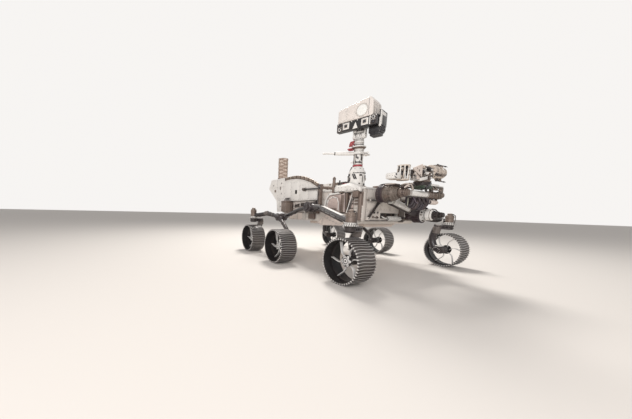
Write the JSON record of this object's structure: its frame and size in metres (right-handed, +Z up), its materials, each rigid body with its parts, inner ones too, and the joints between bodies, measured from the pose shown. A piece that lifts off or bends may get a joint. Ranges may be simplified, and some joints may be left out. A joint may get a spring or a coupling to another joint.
{
  "type": "planetary rover",
  "caption": "Six-wheeled planetary rover: box body on rocker and bogie arms, steered corner wheels, camera mast, finned rear power unit and folded front arm with a tool turret.",
  "frame": {"origin": "on the ground below the middle of the rover's whole box", "axes": "+X forward, +Y to the rover's left, +Z up; millimetres in the source, metres in the record"},
  "size_m": [2.9904, 2.72, 2.25],
  "materials": {
    "white_paint": "satin white thermal paint",
    "white_panel": "satin white panel",
    "tan_structure": "matte tan-grey structure",
    "dark_metal": "dark anodised housings, dusty",
    "bronze_metal": "bronze-brown housings, dusty",
    "wheel_metal": "dark machined wheel skin, dusty",
    "spoke_metal": "light curved spokes, satin",
    "black_box": "matte black",
    "antenna_tan": "tan patterned drum",
    "tube_metal": "bare coolant tubes"
  },
  "bodies": {
    "chassis": {"body_shell": "tan_structure", "deck_plate": "white_panel", "belly_box": "tan_structure", "side_panels": "white_panel", "heat_exchangers": "white_panel", "coolant_tubes": "tube_metal", "power_unit": "white_paint", "relay_antenna": "antenna_tan", "dish_base": "white_paint", "front_panel": "tan_structure", "shoulder_bracket": "bronze_metal", "equipment_boxes": "bronze_metal", "corner_cover": "white_panel", "side_pods": "white_paint", "differential_bar": "bronze_metal", "differential_links": "bronze_metal", "rocker_right": "dark_metal", "rocker_left": "dark_metal", "bogie_right": "dark_metal", "bogie_left": "dark_metal", "steering_actuators": "bronze_metal", "mast_foot": "white_paint", "mast_tube": "white_paint", "wind_booms": "white_paint", "edge_posts": "tan_structure"},
    "dish_mount": {"dish_gimbal": "bronze_metal"},
    "dish": {"dish_plate": "white_panel"},
    "neck": {"mast_neck": "tube_metal"},
    "head": {"head_box": "white_paint", "camera_bar": "black_box", "head_side_box": "black_box"},
    "shoulder": {"shoulder_drum": "dark_metal"},
    "upper_arm": {"upper_arm": "white_paint", "elevation_drum": "dark_metal", "elbow_drum": "bronze_metal"},
    "forearm": {"forearm": "white_paint"},
    "wrist": {"wrist_bracket": "bronze_metal"},
    "turret": {"turret_core": "bronze_metal", "drill": "bronze_metal", "turret_sensor": "white_paint"},
    "leg_front_right": {"leg_front_right": "dark_metal"},
    "wheel_front_right": {"wheel_front_right": "wheel_metal", "hub_front_right": "spoke_metal"},
    "leg_front_left": {"leg_front_left": "dark_metal"},
    "wheel_front_left": {"wheel_front_left": "wheel_metal", "hub_front_left": "spoke_metal"},
    "wheel_middle_right": {"wheel_middle_right": "wheel_metal", "hub_middle_right": "spoke_metal"},
    "wheel_middle_left": {"wheel_middle_left": "wheel_metal", "hub_middle_left": "spoke_metal"},
    "leg_rear_right": {"leg_rear_right": "dark_metal"},
    "wheel_rear_right": {"wheel_rear_right": "wheel_metal", "hub_rear_right": "spoke_metal"},
    "leg_rear_left": {"leg_rear_left": "dark_metal"},
    "wheel_rear_left": {"wheel_rear_left": "wheel_metal", "hub_rear_left": "spoke_metal"}
  },
  "joints": [
    {"name": "steer_front_right", "type": "hinge", "parent": "chassis", "child": "leg_front_right", "pos_m": [1.2002, -1.12, 0.655], "axis": [0, 0, 1], "range_deg": [-95, 95]},
    {"name": "roll_front_right", "type": "hinge", "parent": "leg_front_right", "child": "wheel_front_right", "pos_m": [1.2002, -1.12, 0.2625], "axis": [0, 1, 0], "continuous": true},
    {"name": "steer_front_left", "type": "hinge", "parent": "chassis", "child": "leg_front_left", "pos_m": [1.2002, 1.12, 0.655], "axis": [0, 0, 1], "range_deg": [-95, 95]},
    {"name": "roll_front_left", "type": "hinge", "parent": "leg_front_left", "child": "wheel_front_left", "pos_m": [1.2002, 1.12, 0.2625], "axis": [0, 1, 0], "continuous": true},
    {"name": "roll_middle_right", "type": "hinge", "parent": "chassis", "child": "wheel_middle_right", "pos_m": [-0.0498, -1.22, 0.2625], "axis": [0, 1, 0], "continuous": true},
    {"name": "roll_middle_left", "type": "hinge", "parent": "chassis", "child": "wheel_middle_left", "pos_m": [-0.0498, 1.22, 0.2625], "axis": [0, 1, 0], "continuous": true},
    {"name": "steer_rear_right", "type": "hinge", "parent": "chassis", "child": "leg_rear_right", "pos_m": [-1.1998, -1.12, 0.655], "axis": [0, 0, 1], "range_deg": [-95, 95]},
    {"name": "roll_rear_right", "type": "hinge", "parent": "leg_rear_right", "child": "wheel_rear_right", "pos_m": [-1.1998, -1.12, 0.2625], "axis": [0, 1, 0], "continuous": true},
    {"name": "steer_rear_left", "type": "hinge", "parent": "chassis", "child": "leg_rear_left", "pos_m": [-1.1998, 1.12, 0.655], "axis": [0, 0, 1], "range_deg": [-95, 95]},
    {"name": "roll_rear_left", "type": "hinge", "parent": "leg_rear_left", "child": "wheel_rear_left", "pos_m": [-1.1998, 1.12, 0.2625], "axis": [0, 1, 0], "continuous": true},
    {"name": "head_pan", "type": "hinge", "parent": "chassis", "child": "neck", "pos_m": [0.7202, -0.5, 1.76], "axis": [0, 0, 1], "range_deg": [-104, 258]},
    {"name": "head_tilt", "type": "hinge", "parent": "neck", "child": "head", "pos_m": [0.7202, -0.5, 1.835], "axis": [0.9744, 0.225, 0], "range_deg": [-91, 87]},
    {"name": "dish_turn", "type": "hinge", "parent": "chassis", "child": "dish_mount", "pos_m": [-0.2998, 0.2, 1.2], "axis": [0, 0, 1], "range_deg": [-170, 170]},
    {"name": "dish_hinge", "type": "hinge", "parent": "dish_mount", "child": "dish", "pos_m": [-0.2998, 0.2, 1.265], "axis": [0, 1, 0], "range_deg": [0, 110]},
    {"name": "shoulder_turn", "type": "hinge", "parent": "chassis", "child": "shoulder", "pos_m": [1.0722, 0.25, 0.802], "axis": [0, 0, 1], "range_deg": [0, 90]},
    {"name": "shoulder_lift", "type": "hinge", "parent": "shoulder", "child": "upper_arm", "pos_m": [1.1402, 0.25, 0.802], "axis": [-1, 0, 0], "range_deg": [-60, 50]},
    {"name": "elbow", "type": "hinge", "parent": "upper_arm", "child": "forearm", "pos_m": [1.3222, -0.46, 1.055], "axis": [1, 0, 0], "range_deg": [0, 160]},
    {"name": "wrist", "type": "hinge", "parent": "forearm", "child": "wrist", "pos_m": [1.3602, 0.27, 1.055], "axis": [-1, 0, 0], "range_deg": [0, 90]},
    {"name": "turret_turn", "type": "hinge", "parent": "wrist", "child": "turret", "pos_m": [1.3882, -0.14, 1.19], "axis": [0, 0, 1], "range_deg": [-175, 175]}
  ]
}
